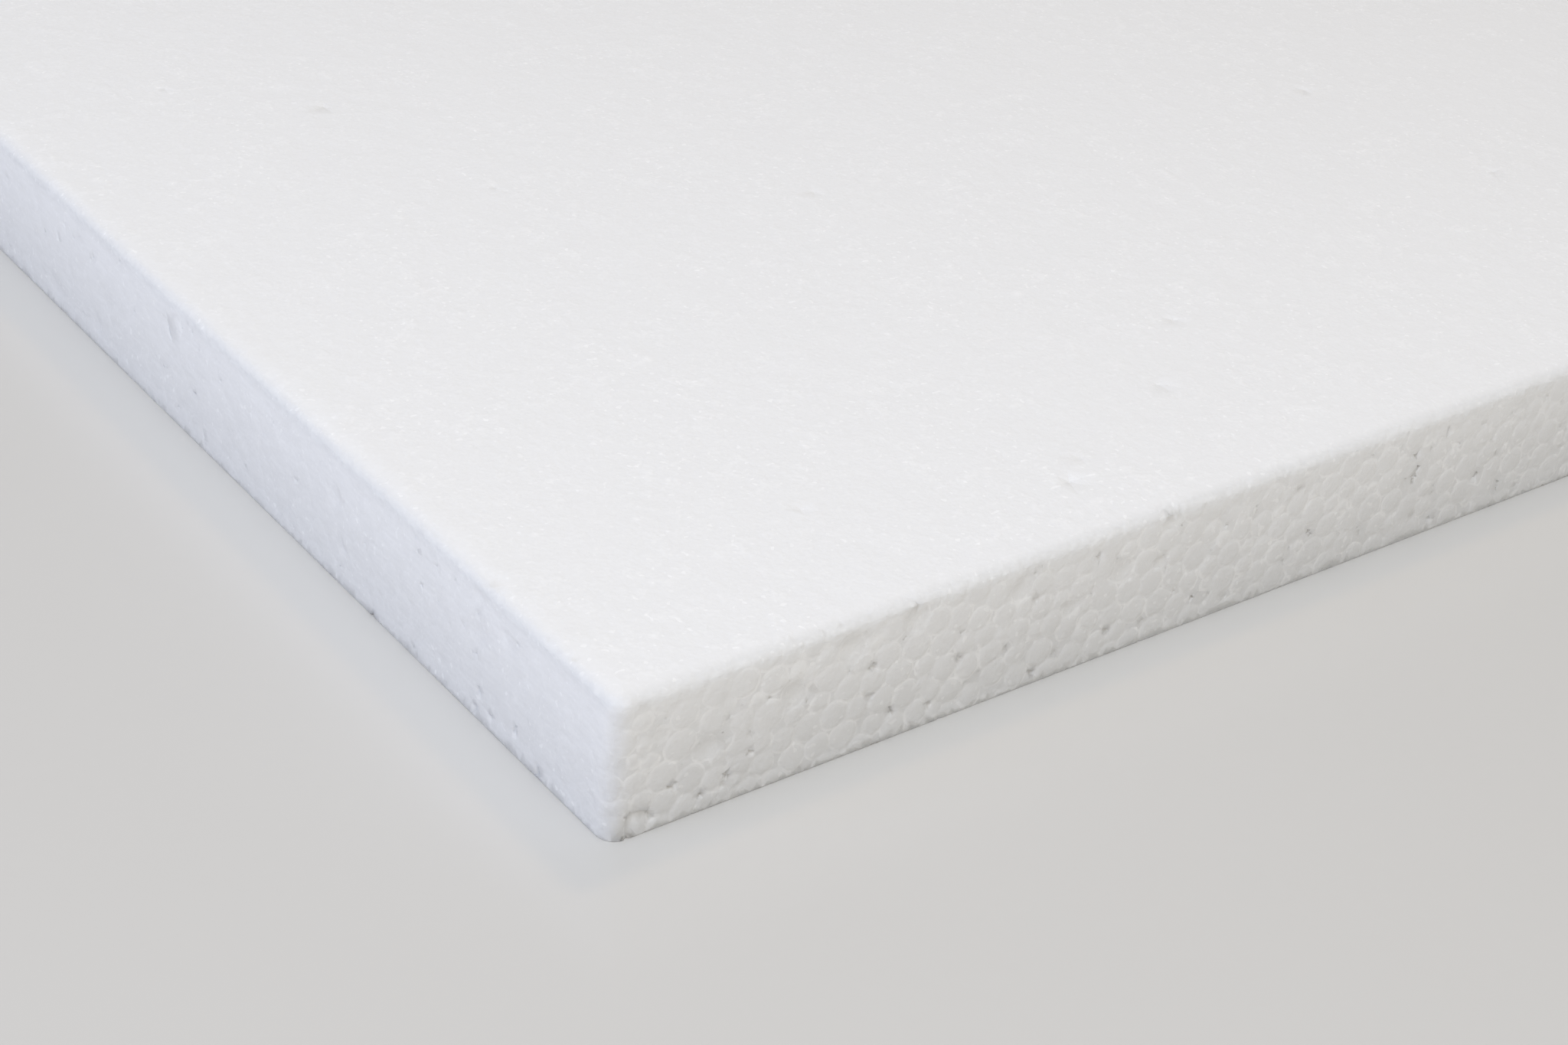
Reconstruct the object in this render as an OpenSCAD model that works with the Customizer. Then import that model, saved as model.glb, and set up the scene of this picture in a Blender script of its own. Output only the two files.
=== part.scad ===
// Insulation board of expanded polystyrene: one block of fused beads with four cut sides.
// Millimetres. The board lies flat, with its underside at z = 0 and its middle over the origin.
// A cut side goes through the beads and shows how they are packed. The marks on it are the gaps
// that round beads leave between them, the sockets of beads that pulled out, beads that stand
// free in a ring of their own, and the nicks where beads round away from each other at an arris.

/* [Board] */
// Length of the board, along X
board_length = 600; // [200:10:1200]
// Width of the board, along Y
board_width = 300; // [150:10:600]
// Thickness of the board, along Z
board_thickness = 20; // [12:1:50]
// Radius in plan where two cut sides meet
corner_radius = 2.5; // [1.6:0.1:6]
// Radius that handling leaves on the upper and lower arrises
arris_radius = 0.6; // [0.2:0.1:1.4]

/* [Beads] */
// Diameter of a bead
bead_diameter = 3.9; // [3:0.1:5]
// How far two neighbouring beads are fused into each other
bead_fusion = 0.3; // [0:0.05:0.8]
// How far a mark may sit off its regular place
bead_wander = 0.5; // [0:0.05:0.8]
// Seed that the scattered marks are drawn from
scatter_seed = 41; // [1:1:200]

/* [Gaps between beads] */
// Share of the places between three beads that stay open
gap_share = 0.05; // [0:0.01:0.15]
// Reach of the smallest gap, from its middle to a corner
gap_reach_min = 0.5; // [0.3:0.05:0.6]
// Reach of the largest gap, from its middle to a corner
gap_reach_max = 1; // [0.6:0.05:1.2]
// Narrowest part of a gap, as a share of its reach
gap_waist = 0.45; // [0.3:0.05:0.55]
// Depth of a gap behind the cut side
gap_depth = 1.1; // [0.4:0.1:2]

/* [Pulled and ringed beads] */
// Share of the beads on a cut side that pulled out
socket_share = 0.012; // [0:0.002:0.04]
// Depth of the socket that a pulled bead leaves
socket_depth = 0.7; // [0.3:0.1:1.2]
// Share of the beads in the lowest course that stand in a ring
ringed_share = 0.03; // [0:0.01:0.1]
// Width of the ring round a bead
ring_width = 0.3; // [0.15:0.05:0.5]
// Depth of the ring behind the cut side
ring_depth = 0.7; // [0.3:0.1:1.2]

/* [Nicks along the arrises] */
// Share of the bead joints along the lower arris that are nicked
lower_nick_share = 0.3; // [0:0.02:0.6]
// Share of the bead joints along the upper arris that are nicked
upper_nick_share = 0.08; // [0:0.02:0.4]
// How far the smallest nick reaches from the edge
nick_reach_min = 0.7; // [0.5:0.05:0.8]
// How far the largest nick reaches from the edge
nick_reach_max = 1.3; // [0.8:0.05:1.6]

/* [Hidden] */
$fn = 48;
foam_white = [0.93, 0.93, 0.93];
// Cutters start this far outside the side that they cut
clearance = 0.5;
// Points of the outline of a gap: three corners and the three waists between them
gap_points = 6;

bead_radius = bead_diameter / 2;
bead_spacing = bead_diameter - bead_fusion;
// Beads lie in courses, each one set half a bead along from the course below
course_height = bead_spacing * sin(60);
courses = floor((board_thickness - bead_diameter) / course_height) + 1;
first_course = (board_thickness - (courses - 1) * course_height) / 2;
// Beads keep this far from the end of a side, clear of the rounded corner
end_margin = corner_radius + bead_diameter;

// The four cut sides, counted round from the front
front = 0;
left = 3;

// Kinds of scattered mark, so that each has draws of its own
gap_mark = 0;
socket_mark = 1;
ring_mark = 2;
lower_nick_mark = 3;
upper_nick_mark = 4;
// Seeds kept free for the kinds of mark in one course, and for the courses of one side
course_seeds = 10;
side_seeds = 1000;
// Numbers drawn for each place
uses = 4;

// Marks with a place of their own, near the corner between the front and the left side.
// Gaps on the front side: distance from the corner, height, reach
front_gaps = [
    [7.7, 5.8, 0.6], [15.3, 4.0, 0.6], [20.8, 6.2, 0.5], [37.9, 10.9, 0.7], [38.1, 7.1, 0.9],
    [42.1, 2.8, 0.6], [52.1, 7.5, 0.7], [64.2, 12.1, 1.0], [68.7, 3.6, 1.1], [74.5, 15.5, 0.7]
];
// Gaps on the left side: distance from the corner, height, reach
left_gaps = [[20.0, 2.9, 0.9], [26.5, 2.4, 0.5], [29.4, 3.4, 0.8], [41.0, 12.0, 0.4]];
// Nicks in the lower arris of the left side: distance from the corner
left_nicks = [16, 31, 42, 54.5];
// The ringed bead at the foot of the corner, on the front side: distance from it, height
corner_bead = [4.7, 2.7];
// Scattered gaps and sockets start this far from the corner
placed_run = 80;

// Length of a cut side
function run_of(side) = side % 2 == 0 ? board_length : board_width;
// Distance from the middle of the board to a cut side
function reach_of(side) = (side % 2 == 0 ? board_width : board_length) / 2;
// Number of beads in a course
function beads_along(side) = floor((run_of(side) - 2 * end_margin) / bead_spacing);
// Distance of a place in a course from the start of its side. From bead to bead is 1
function along(place, course) = end_margin + (place + course % 2 / 2) * bead_spacing;
function course_level(course) = first_course + course * course_height;
function between(low, high, share) = low + (high - low) * share;
// True on the stretch whose marks have places of their own
function is_placed(side, x) =
    (side == front && x < placed_run) || (side == left && x > run_of(left) - placed_run);
// Four repeatable numbers from 0 to 1 for each place: is it marked, how big, how far along, how high
function draws(places, side, course, mark) =
    let (numbers = rands(0, 1, uses * places, draw_seed(side, course, mark)))
    [for (place = [0 : places - 1]) [for (use = [0 : uses - 1]) numbers[uses * place + use]]];
// A seed of its own for each kind of mark in each course of each side
function draw_seed(side, course, mark) = scatter_seed + side_seeds * side + course_seeds * course + mark;
function wander(draw) = (draw - 0.5) * bead_wander;

// Puts its children on a cut side: x runs along the side, y goes into the foam, z is up
module on_side(side) {
    rotate([0, 0, 90 * side]) translate([-run_of(side) / 2, -reach_of(side), 0]) children();
}

// Section through the board with its arrises rounded
module section(span) {
    inner_span = span - 2 * arris_radius;
    inner_height = board_thickness - 2 * arris_radius;
    translate([-span / 2, arris_radius]) square([span, inner_height]);
    translate([-inner_span / 2, 0]) square([inner_span, board_thickness]);
    for (x = [-inner_span / 2, inner_span / 2], y = [arris_radius, arris_radius + inner_height])
        translate([x, y]) circle(arris_radius);
}

// The board between its rounded corners, as one extruded section
module beam(run, span) {
    rotate([90, 0, 90]) linear_extrude(run, center = true) section(span);
}

// One upright corner, rounded in plan, with the arrises carried round it
module corner_post() {
    rotate_extrude() intersection() {
        section(2 * corner_radius);
        square([corner_radius, board_thickness]);
    }
}

module slab() {
    corner_x = board_length / 2 - corner_radius;
    corner_y = board_width / 2 - corner_radius;
    beam(2 * corner_x, board_width);
    rotate([0, 0, 90]) beam(2 * corner_y, board_length);
    for (x = [-corner_x, corner_x], y = [-corner_y, corner_y]) translate([x, y, 0]) corner_post();
}

// The gap between three beads: a corner where two of them touch, and a waist where each bows in
module bead_gap(reach, first_corner) {
    outline = [for (step = [0 : gap_points - 1])
        let (
            distance = step % 2 == 0 ? reach : reach * gap_waist,
            turn = first_corner + 360 / gap_points * step
        )
        [distance * cos(turn), distance * sin(turn)]];
    translate([0, gap_depth, 0]) rotate([90, 0, 0])
        linear_extrude(gap_depth + clearance) polygon(outline);
}

// The hollow that a bead leaves when it pulls out whole
module socket() {
    translate([0, socket_depth - bead_radius, 0]) sphere(bead_radius);
}

// The ring round a bead that is hardly fused to the rest, cut so that the bead's dome stays
module bead_ring() {
    dome_radius = bead_radius - ring_width / 2;
    difference() {
        translate([0, ring_depth, 0]) rotate([90, 0, 0])
            cylinder(r = bead_radius, h = ring_depth + clearance);
        translate([0, dome_radius, 0]) sphere(dome_radius);
    }
}

// A notch across the lower arris. Its valley slopes from the cut side down to the underside
module nick(reach) {
    valley = reach * sqrt(2);
    inward = (reach - valley) / 2;
    translate([0, inward, inward]) rotate([45, 0, 0])
        cylinder(r = reach, h = valley + 2 * clearance, center = true, $fn = 4);
}

// Gaps in the seam above a course. Those between two of its beads alternate with those over a bead
module scattered_gaps(side, course) {
    places = 2 * beads_along(side);
    numbers = draws(places, side, course, gap_mark);
    for (place = [0 : places - 1]) {
        over_bead = place % 2;
        draw = numbers[place];
        x = along((place + 1) / 2, course) + wander(draw[2]);
        z = course_level(course) + (1 + over_bead) * course_height / 3 + wander(draw[3]);
        if (draw[0] < gap_share && !is_placed(side, x))
            translate([x, 0, z])
                bead_gap(between(gap_reach_min, gap_reach_max, draw[1]), 180 * over_bead - 90);
    }
}

module scattered_sockets(side, course) {
    numbers = draws(beads_along(side), side, course, socket_mark);
    for (bead = [0 : beads_along(side) - 1]) {
        x = along(bead, course) + wander(numbers[bead][2]);
        if (numbers[bead][0] < socket_share && !is_placed(side, x))
            translate([x, 0, course_level(course)]) socket();
    }
}

module scattered_rings(side) {
    numbers = draws(beads_along(side), side, 0, ring_mark);
    for (bead = [0 : beads_along(side) - 1]) {
        x = along(bead, 0) + wander(numbers[bead][2]);
        if (numbers[bead][0] < ringed_share && !is_placed(side, x))
            translate([x, 0, course_level(0)]) bead_ring();
    }
}

// Nicks at the joints between the beads of one course, all in the lower arris
module scattered_nicks(side, course, share, mark) {
    numbers = draws(beads_along(side), side, course, mark);
    for (joint = [0 : beads_along(side) - 1])
        if (numbers[joint][0] < share)
            translate([along(joint + 0.5, course) + wander(numbers[joint][2]), 0, 0])
                nick(between(nick_reach_min, nick_reach_max, numbers[joint][1]));
}

module side_marks(side) {
    for (course = [0 : courses - 2]) scattered_gaps(side, course);
    for (course = [0 : courses - 1]) scattered_sockets(side, course);
    scattered_rings(side);
    scattered_nicks(side, 0, lower_nick_share, lower_nick_mark);
    translate([0, 0, board_thickness]) mirror([0, 0, 1])
        scattered_nicks(side, courses - 1, upper_nick_share, upper_nick_mark);
}

// The marks that have places of their own
module corner_marks() {
    on_side(front) {
        for (gap = front_gaps) translate([gap[0], 0, gap[1]]) bead_gap(gap[2], -90);
        translate([corner_bead[0], 0, corner_bead[1]]) bead_ring();
    }
    on_side(left) {
        for (gap = left_gaps) translate([run_of(left) - gap[0], 0, gap[1]]) bead_gap(gap[2], 90);
        for (distance = left_nicks) translate([run_of(left) - distance, 0, 0]) nick(nick_reach_max);
    }
}

module foam_board() {
    color(foam_white) difference() {
        slab();
        for (side = [front : left]) on_side(side) side_marks(side);
        corner_marks();
    }
}

foam_board();
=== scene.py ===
"""Foam insulation board: one block of expanded polystyrene with four cut sides, lying on a pale floor.

The board is one closed mesh. Its rim, which is the four cut sides with both arrises, is unrolled into a
flat sheet. Bead sections are packed on that sheet, and each gets its wall, its crown and the gaps beside
it. Then the sheet is wrapped back round the board and closed with the two broad faces. Lengths are in
millimetres until the mesh is made.
"""
import math

import bpy
import numpy as np
from mathutils import Matrix, Vector
from mathutils.geometry import delaunay_2d_cdt


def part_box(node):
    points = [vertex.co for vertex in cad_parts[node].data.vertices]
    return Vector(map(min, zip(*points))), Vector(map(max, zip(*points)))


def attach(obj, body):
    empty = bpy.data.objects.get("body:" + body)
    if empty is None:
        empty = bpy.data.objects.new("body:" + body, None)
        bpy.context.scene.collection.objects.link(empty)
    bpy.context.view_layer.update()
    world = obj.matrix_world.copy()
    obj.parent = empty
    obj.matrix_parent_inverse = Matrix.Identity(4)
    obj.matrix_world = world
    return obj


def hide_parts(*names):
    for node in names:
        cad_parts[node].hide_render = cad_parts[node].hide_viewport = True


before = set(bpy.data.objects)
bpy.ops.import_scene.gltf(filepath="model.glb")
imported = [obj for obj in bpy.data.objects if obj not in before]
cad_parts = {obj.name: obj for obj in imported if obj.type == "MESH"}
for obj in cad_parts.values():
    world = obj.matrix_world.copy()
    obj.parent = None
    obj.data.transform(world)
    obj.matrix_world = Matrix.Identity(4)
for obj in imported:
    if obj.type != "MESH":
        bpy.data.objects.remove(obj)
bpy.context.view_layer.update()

MM = 0.001
SEED = 20

# The board, from the frame
board_low, board_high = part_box("foam_board")
LENGTH, WIDTH, THICKNESS = ((board_high - board_low) / MM)
NEAR_CORNER = Vector((board_low.x, board_low.y, 0))
CORNER_RADIUS = 2.5
LOWER_RADIUS = 0.15  # of the arris on the underside
UPPER_RADIUS = 1.4  # of the arris on top
FOOT_HEIGHT = 1.4  # below this the cut is nearly flush, because the board stands on it
FOOT_FLUSH = 0.2  # share of its depth that a mark keeps at the very foot

# The rim's sheet and the points on it
FACE_MARGIN = 2.2  # how far the sheet reaches in over each broad face
EDGE_SPACING = 1.9  # between the points of its two long edges
EDGE_ROOM = 0.45  # kept free of points along those edges
CORNER_ROOM = 0.7  # kept free of bead corners along those edges
POINT_SPACING = 0.95  # between points along a wall
MOST_PIECES = 6  # that a wall is divided into
RING_AT = 0.66  # where a bead's inner ring of points lies, from its middle to its wall
RING_POINTS = (4, 7)  # fewest and most
RING_DENSITY = 3.1  # points in that ring for each millimetre of the bead's radius
RING_SCATTER = 0.12  # of their angles, in radians
WALL_REACH = (0.1, 1.25)  # nearest a wall may be to a middle in millimetres, and farthest in radii
ARRIS_SPACING = 0.7  # between the points that hold an arris
ARRIS_SCATTER = 0.3  # of those points, as a share of their spacing
ARRIS_SINK = 0.04  # how deep they lie
ARRIS_LEAD = 0.3  # how far before it bends an arris counts as one, as a share of its arc
UPPER_ROWS = (0.2, 0.75)  # rows of points on the upper arris, as shares of its arc
# How far copies of the points go past both ends of the sheet, so that it closes on itself
PACKING_OVERLAP = 12
CELL_OVERLAP = 14
MESH_OVERLAP = 8
FAR = 99.0  # stands for no distance at all

# The beads on the rim
BEAD_RADIUS = 2.3
RADIUS_SPREAD = (0.9, 1.06)
SMALLEST_SECTION = 0.45  # as a share of the bead's radius
FUSED = 0.93  # distance of two bead sections, as a share of their radii together
PACKED = 0.97  # area of the bead sections over the area of the sheet
PACKING_ROUNDS = 70
PUSH_SHARE = 0.45  # of an overlap, which one round takes out
LARGEST_OVERLAP = 0.8  # that one round counts
PAST_EDGE = 0.5  # how far past the sheet's long edges a bead's middle may go
CELL_ROUNDS = 3  # in which each corner looks for its three nearest beads again
STRAY = 9  # a corner this far off the sheet is no corner
AT_ONCE = 512  # places that look for their nearest beads together

# How far a cut wanders into the foam: its middle, its long and short waves, and the farthest
SWAY = 0.1
LONG_SWAY = 0.06
SHORT_SWAY = 0.04
MOST_SWAY = 0.3
# How plainly beads show on it
SMEAR_PATCH = 22  # length of the patches where they show less
SMEAR_LOSS = 0.6  # where the cut is fully smeared
END_LOSS = 0.72  # on the two end sides
LEAST_RELIEF = 0.35  # share of its depth that a mark keeps where nothing shows
ARRIS_LOSS = 0.35  # share of its depth that a mark loses at an arris

# How far a bead rounds back at its wall
WHOLE_BULGE = (0.12, 0.3)  # where the cut passed it by
CUT_BULGE = (0.02, 0.08)  # where the cut went through it
TORN_BULGE = (0.02, 0.06)  # where it tore out
PLACED_BULGE = (0.12, 0.27)  # where it has a place of its own
RINGED_BULGE = 0.6  # of the bead in a groove, at the foot of the corner
FOOT_COURSE = (-0.5, 2.9)  # where the middles of the lowest beads lie, from the foot of the side
WHOLE_AT_FOOT = 0.55  # share of those that the cut passed by
WHOLE_ELSEWHERE = 0.07
RING_DEPTH = 0.65  # of the groove round the bead at the foot of the corner
GROOVE_ABOVE = 1.1  # how far above the foot the groove starts

# Beads that tore out of a cut side and left a dish
TORN_SHARE = 0.03
TORN_DEPTH = (0.35, 0.7)
FRONT_TORN = [(24.5, 13.0), (33.0, 15.6), (44.5, 16.5), (61.0, 15.8), (79.0, 12.5), (13.5, 9.0)]

# Gaps between beads
OPEN_SHARE = 0.2
DEEP_SHARE = 0.03
SMALL_GAP = (0.1, 0.2)  # from the gap's middle to its waist
DEEP_GAP = (0.2, 0.36)
SMALL_DEPTH = (0.15, 0.35)
DEEP_DEPTH = (0.3, 0.5)
ARRIS_DEPTH = 0.5  # of a gap at an arris, at most
FLOOR_SHARE = 0.55  # a deep gap's floor, as a share of its mouth
CUSP_REACH = 2.3  # from a gap's middle to its cusp, in waists
CUSP_EXTRA = 0.12
CUSP_SHARE = 0.42  # of the wall that a cusp takes, at most
SHORTEST_WALL = 0.25  # that still gets a cusp
GAP_CLEAR = 1.7  # how far from a gap's middle an arris is held again, in waists
MOUTH_SHARE = 0.9  # of a bead's bulge that is left at a gap's waist
MOUTH_WALL = 0.03  # how far inside its wall a bead counts there
CORNER_SINK = 0.04  # how much deeper a closed corner lies than its walls
OPEN_SPREAD = (0.5, 1.5)  # of the chance that a corner stays open
OPEN_AT_ARRIS = 0.35  # share of that chance that is left there
OPEN_AT_FOOT = 0.3
CLOSED_AT_ENDS = 0.3  # share of it that the two end sides lose

# How hollow a point is, from 0 on the cut to 1 at the bottom of a deep gap. The material darkens the gaps by
# it, as painted shade.
SMALL_HOLLOW = 0.55
GROOVE_HOLLOW = 0.5
MOUTH_HOLLOW = 0.15
CORNER_HOLLOW = 0.05
FULL_FROM = 0.5  # from here on a point keeps its whole depth

# Gaps near the corner in view: distance from it along the side, height, waist
FRONT_GAPS = [
    (7.7, 5.8, 0.30), (15.3, 4.0, 0.28), (20.8, 6.2, 0.24), (37.9, 10.9, 0.32), (38.1, 7.1, 0.42),
    (42.1, 2.8, 0.30), (52.1, 7.5, 0.34), (64.2, 12.1, 0.45), (68.7, 3.6, 0.50), (74.5, 15.5, 0.32),
    (77.4, 3.8, 0.32), (16.4, 1.9, 0.36), (48.3, 3.1, 0.26), (64.5, 1.2, 0.36), (12.4, 1.4, 0.3),
    (2.0, 3.6, 0.3), (6.0, 3.5, 0.24), (6.0, 1.0, 0.26),
]
LEFT_GAPS = [(20.0, 2.9, 0.4), (26.5, 2.4, 0.22), (29.4, 3.4, 0.34), (41.0, 12.0, 0.2)]
# Nicks in the lower arris of the left side, from that corner
LEFT_NICKS = [16.0, 31.0, 42.0, 54.5]
NICK_HEIGHT = 0.5
NICK_WAIST = 0.42
# Round beads that show plainly on the front side: distance from the corner, height, radius
FRONT_BEADS = [
    (4.4, 1.55, 1.7), (7.9, 3.2, 2.1), (11.4, 5.4, 2.3), (18.2, 7.1, 2.0), (18.2, 3.0, 1.9),
    (22.0, 3.3, 2.0), (26.6, 2.7, 2.1), (30.1, 9.6, 1.7), (28.7, 6.4, 2.2), (34.3, 3.2, 2.3),
    (39.0, 3.0, 1.9), (43.7, 5.9, 2.3), (45.9, 2.4, 2.0), (46.4, 9.3, 1.8), (51.2, 3.7, 2.1),
    (58.2, 4.0, 2.3), (62.3, 2.3, 2.0), (65.9, 4.4, 2.3), (70.1, 7.0, 2.1), (74.0, 6.4, 2.0),
    (71.6, 2.4, 2.1), (75.8, 2.4, 2.1), (64.6, 8.4, 1.7),
]
FLECK_STRETCH = 1.6  # how many times longer than high a fleck is
# Bright torn flecks on the front side: distance from the corner, height, radius. Their colour is partly
# their own and partly a painted highlight, carried as glint.
FRONT_FLECKS = [
    (24.3, 15.2, 0.7), (26.3, 15.1, 0.8), (33.2, 15.9, 0.7), (38.3, 15.9, 0.7), (44.6, 13.4, 0.6),
    (4.7, 7.3, 0.4), (12.1, 13.6, 0.4), (52.2, 5.8, 0.6),
]
PLAIN_RUN = 82.0  # no other deep gap comes this near the corner on the front side

# The camera, from the near bottom corner
CAMERA_OFFSET = Vector((-146.05, -202.51, 200.92)) * MM
CAMERA_HEADING = math.radians(50.383)
CAMERA_DOWN = math.radians(31.826)
CAMERA_ROLL = math.radians(5.670)
CAMERA_LENS = 63.244
SENSOR_WIDTH = 36.0
CLIP_START = 0.01

# The broad faces
TOP_SPACING = 3.1
BOTTOM_SPACING = 3.7
FACE_SCATTER = 0.28  # of a point, as a share of the spacing
FACE_INSET = 0.45  # of the outermost points from the rim's sheet, as a share of the spacing
FACE_DEPTH = 0.1
FACE_SEED = SEED + 5
SPOT_ROOM = 0.7  # kept free of other points round a glint or a pit
SPOT_DISTANCE = 3.2  # between two of them, at least
SPOT_MARGIN = 6  # between them and the board's outline
SPOT_POINTS = 6  # in the ring round a spot
SPOT_UNEVEN = (0.75, 1.2)  # of that ring's radius
SPOT_RIM_DEPTH = 0.02
PIT_DEPTH = 0.25
# Scattered spots: how many, smallest and largest radius, depth, shine
SCATTERED = [(260, 0.35, 0.8, 0.0, 0.8), (36, 0.25, 0.4, 0.22, 0.0)]
# Glints and pits that show near the corner in view: distance along X and Y from that corner, radius
TOP_GLINTS = [
    (6.8, 72.5, 0.9), (11.3, 34.8, 0.8), (48.5, 65.0, 1.0), (11.5, 9.4, 0.8), (49.2, 13.8, 0.5),
    (71.2, 19.8, 0.8), (88.6, 5.0, 0.8), (93.5, 4.6, 0.8), (82.7, 55.0, 1.0), (107.7, 56.0, 1.2),
    (24.2, 31.7, 0.7), (33.0, 37.5, 0.7),
]
TOP_PITS = [(83.8, 15.8, 0.35), (78.6, 11.9, 0.3)]

# Looks of the foam: its level, and what each feature adds to it
FOAM_LEVEL = 0.88
FOAM_TINT = (1.0, 1.0, 1.0)
# painted light and shade: a cut side is lighter toward its top and darker toward its foot, for light that
# comes through the foam
PAINTED_LIGHT_BY_HEIGHT = (-0.075, 0.07)  # at the foot and at the top of a cut side
# painted shade at the foot of a cut side, where the floor shades it
PAINTED_FOOT_SHADE = -0.075
FOOT_SHADE_REACH = 2.6  # height below which the foot is greyer
# painted shade along the upper arris and down the upright corners
PAINTED_BEND_SHADE = -0.075  # along the upper arris and down the upright corners
BEND_SHIFT = 0.4  # how far in past its middle the arris is greyest
BEND_REACH = 2.0
END_BEND = 0.5  # how much greyer it is on the two end sides
# bead rims: whiter dense skin, and partly a painted highlight where the skins catch light
RIM_SKIN_AND_HIGHLIGHT = 0.07
MIDDLE_LIGHT = -0.012
# painted shade between the round bead outlines, where the shallow gaps lie
PAINTED_BETWEEN_SHADE = -0.03
# painted shade in the gaps, the more the hollower they are
PAINTED_HOLLOW_SHADE = -0.06
TONE_LIGHT = 0.006
STREAK_LIGHT = 0.06
FINE_LIGHT = 0.03
FLECK_LIGHT = 0.03
# painted highlight: glints are lifted toward white
GLINT_LIGHT = 0.08
# Sizes of the noise that breaks it up
LUMP_SIZE = 2.1
SMALL_SIZE = 0.9
FINE_SIZE = 0.6
PATCH_SIZE = 8.0
STREAK_SIZE = 0.55
STREAK_STRETCH = 7.0
WOBBLE = 0.26  # of the bead outlines
BUMP_DEPTH = 0.1
FOAM_ROUGHNESS = (0.6, 0.34)  # plain, and in a glint
ATTRIBUTES = ("wall", "edge", "hollow", "tone", "cut", "clear", "bend", "glint")

# The floor and the light
FLOOR_TINT = (0.655, 0.644, 0.622)
FLOOR_ROUGHNESS = 0.24
FLOOR_SIZE = 6.0
SKY_TINT = (1.0, 0.976, 0.936)
SKY_LEVEL = 0.452
# Name, way to the lamp from the corner in view, distance, size, level and tint
LAMPS = [
    ("overhead", (-0.22, -0.25, 1.0), 1.1, 0.9, 0.577, (0.819, 0.885, 1.0)),
    ("warm_key", (0.385, 0.265, 0.914), 2.0, 0.2, 0.064, (1.0, 0.7, 0.38)),
    ("cool_fill", (-1.0, 0.1, 0.35), 1.2, 0.8, 0.291, (0.594, 0.699, 1.0)),
    ("front_fill", (-0.25, -1.0, 0.9), 1.0, 0.6, 0.071, (1.0, 0.76, 0.28)),
]

rng = np.random.default_rng(SEED)


# ---------------------------------------------------------------- camera

def add_camera():
    forward = Vector((
        math.cos(CAMERA_HEADING) * math.cos(CAMERA_DOWN),
        math.sin(CAMERA_HEADING) * math.cos(CAMERA_DOWN),
        -math.sin(CAMERA_DOWN),
    ))
    level = Vector((forward.y, -forward.x, 0)).normalized()
    above = level.cross(forward)
    right = level * math.cos(CAMERA_ROLL) + above * math.sin(CAMERA_ROLL)
    up = right.cross(forward)
    data = bpy.data.cameras.new("camera")
    data.lens = CAMERA_LENS
    data.sensor_width = SENSOR_WIDTH
    data.clip_start = CLIP_START
    camera = bpy.data.objects.new("camera", data)
    axes = Matrix((right, up, -forward)).transposed().to_4x4()
    camera.matrix_world = Matrix.Translation(NEAR_CORNER + CAMERA_OFFSET) @ axes
    bpy.context.scene.collection.objects.link(camera)
    bpy.context.scene.camera = camera


# ---------------------------------------------------------------- the rim's sheet

FRONT, LEFT = 0, 3  # sides, counted round from the front
CORNER_ARC = CORNER_RADIUS * math.pi / 2
LOWER_ARC = LOWER_RADIUS * math.pi / 2
UPPER_ARC = UPPER_RADIUS * math.pi / 2
RUNS = [LENGTH - 2 * CORNER_RADIUS, WIDTH - 2 * CORNER_RADIUS] * 2
OUTLINE = sum(RUNS) + 4 * CORNER_ARC
SIDE_HEIGHT = THICKNESS - LOWER_RADIUS - UPPER_RADIUS
# How far up the sheet each part of the rim starts
ARC_START = FACE_MARGIN - LOWER_RADIUS
SIDE_START = ARC_START + LOWER_ARC
SIDE_END = SIDE_START + SIDE_HEIGHT
ARC_END = SIDE_END + UPPER_ARC
SHEET_HEIGHT = ARC_END + FACE_MARGIN - UPPER_RADIUS
GROOVE_FROM = SIDE_START + GROOVE_ABOVE
EDGE_COUNT = int(round(OUTLINE / EDGE_SPACING))


def outline(along):
    """Point of the board's plan outline, and the way out there. It starts on the front, at the corner."""
    along = np.mod(along, OUTLINE)
    point = np.zeros((len(along), 2))
    outward = np.zeros((len(along), 2))
    start = 0.0
    for side in range(4):
        turn = math.radians(90 * side)
        ahead = np.array([math.cos(turn), math.sin(turn)])
        out = np.array([math.sin(turn), -math.cos(turn)])
        reach = (WIDTH if side % 2 == 0 else LENGTH) / 2
        run = RUNS[side]
        local = along - start
        straight = (local >= 0) & (local < run)
        point[straight] = np.outer(local[straight] - run / 2, ahead) + out * reach
        outward[straight] = out
        bent = (local >= run) & (local < run + CORNER_ARC)
        angle = (local[bent] - run) / CORNER_RADIUS
        way = np.outer(np.cos(angle), out) + np.outer(np.sin(angle), ahead)
        middle = ahead * run / 2 + out * (reach - CORNER_RADIUS)
        point[bent] = middle + way * CORNER_RADIUS
        outward[bent] = way
        start += run + CORNER_ARC
    return point, outward


def profile(up):
    """How far in from the outline and how high a point of the sheet lies, and its way out and up."""
    lower = np.clip(up - ARC_START, 0, LOWER_ARC) / LOWER_RADIUS
    rise = np.clip(up - SIDE_START, 0, SIDE_HEIGHT)
    upper = np.clip(up - SIDE_END, 0, UPPER_ARC) / UPPER_RADIUS
    under = np.clip(ARC_START - up, 0, None)
    over = np.clip(up - ARC_END, 0, None)
    inset = under + LOWER_RADIUS * (1 - np.sin(lower)) + UPPER_RADIUS * (1 - np.cos(upper)) + over
    height = LOWER_RADIUS * (1 - np.cos(lower)) + rise + UPPER_RADIUS * np.sin(upper)
    sideways = np.sin(lower) * np.cos(upper)
    upward = np.sin(upper) - np.cos(lower)
    return inset, height, sideways, upward


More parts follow.
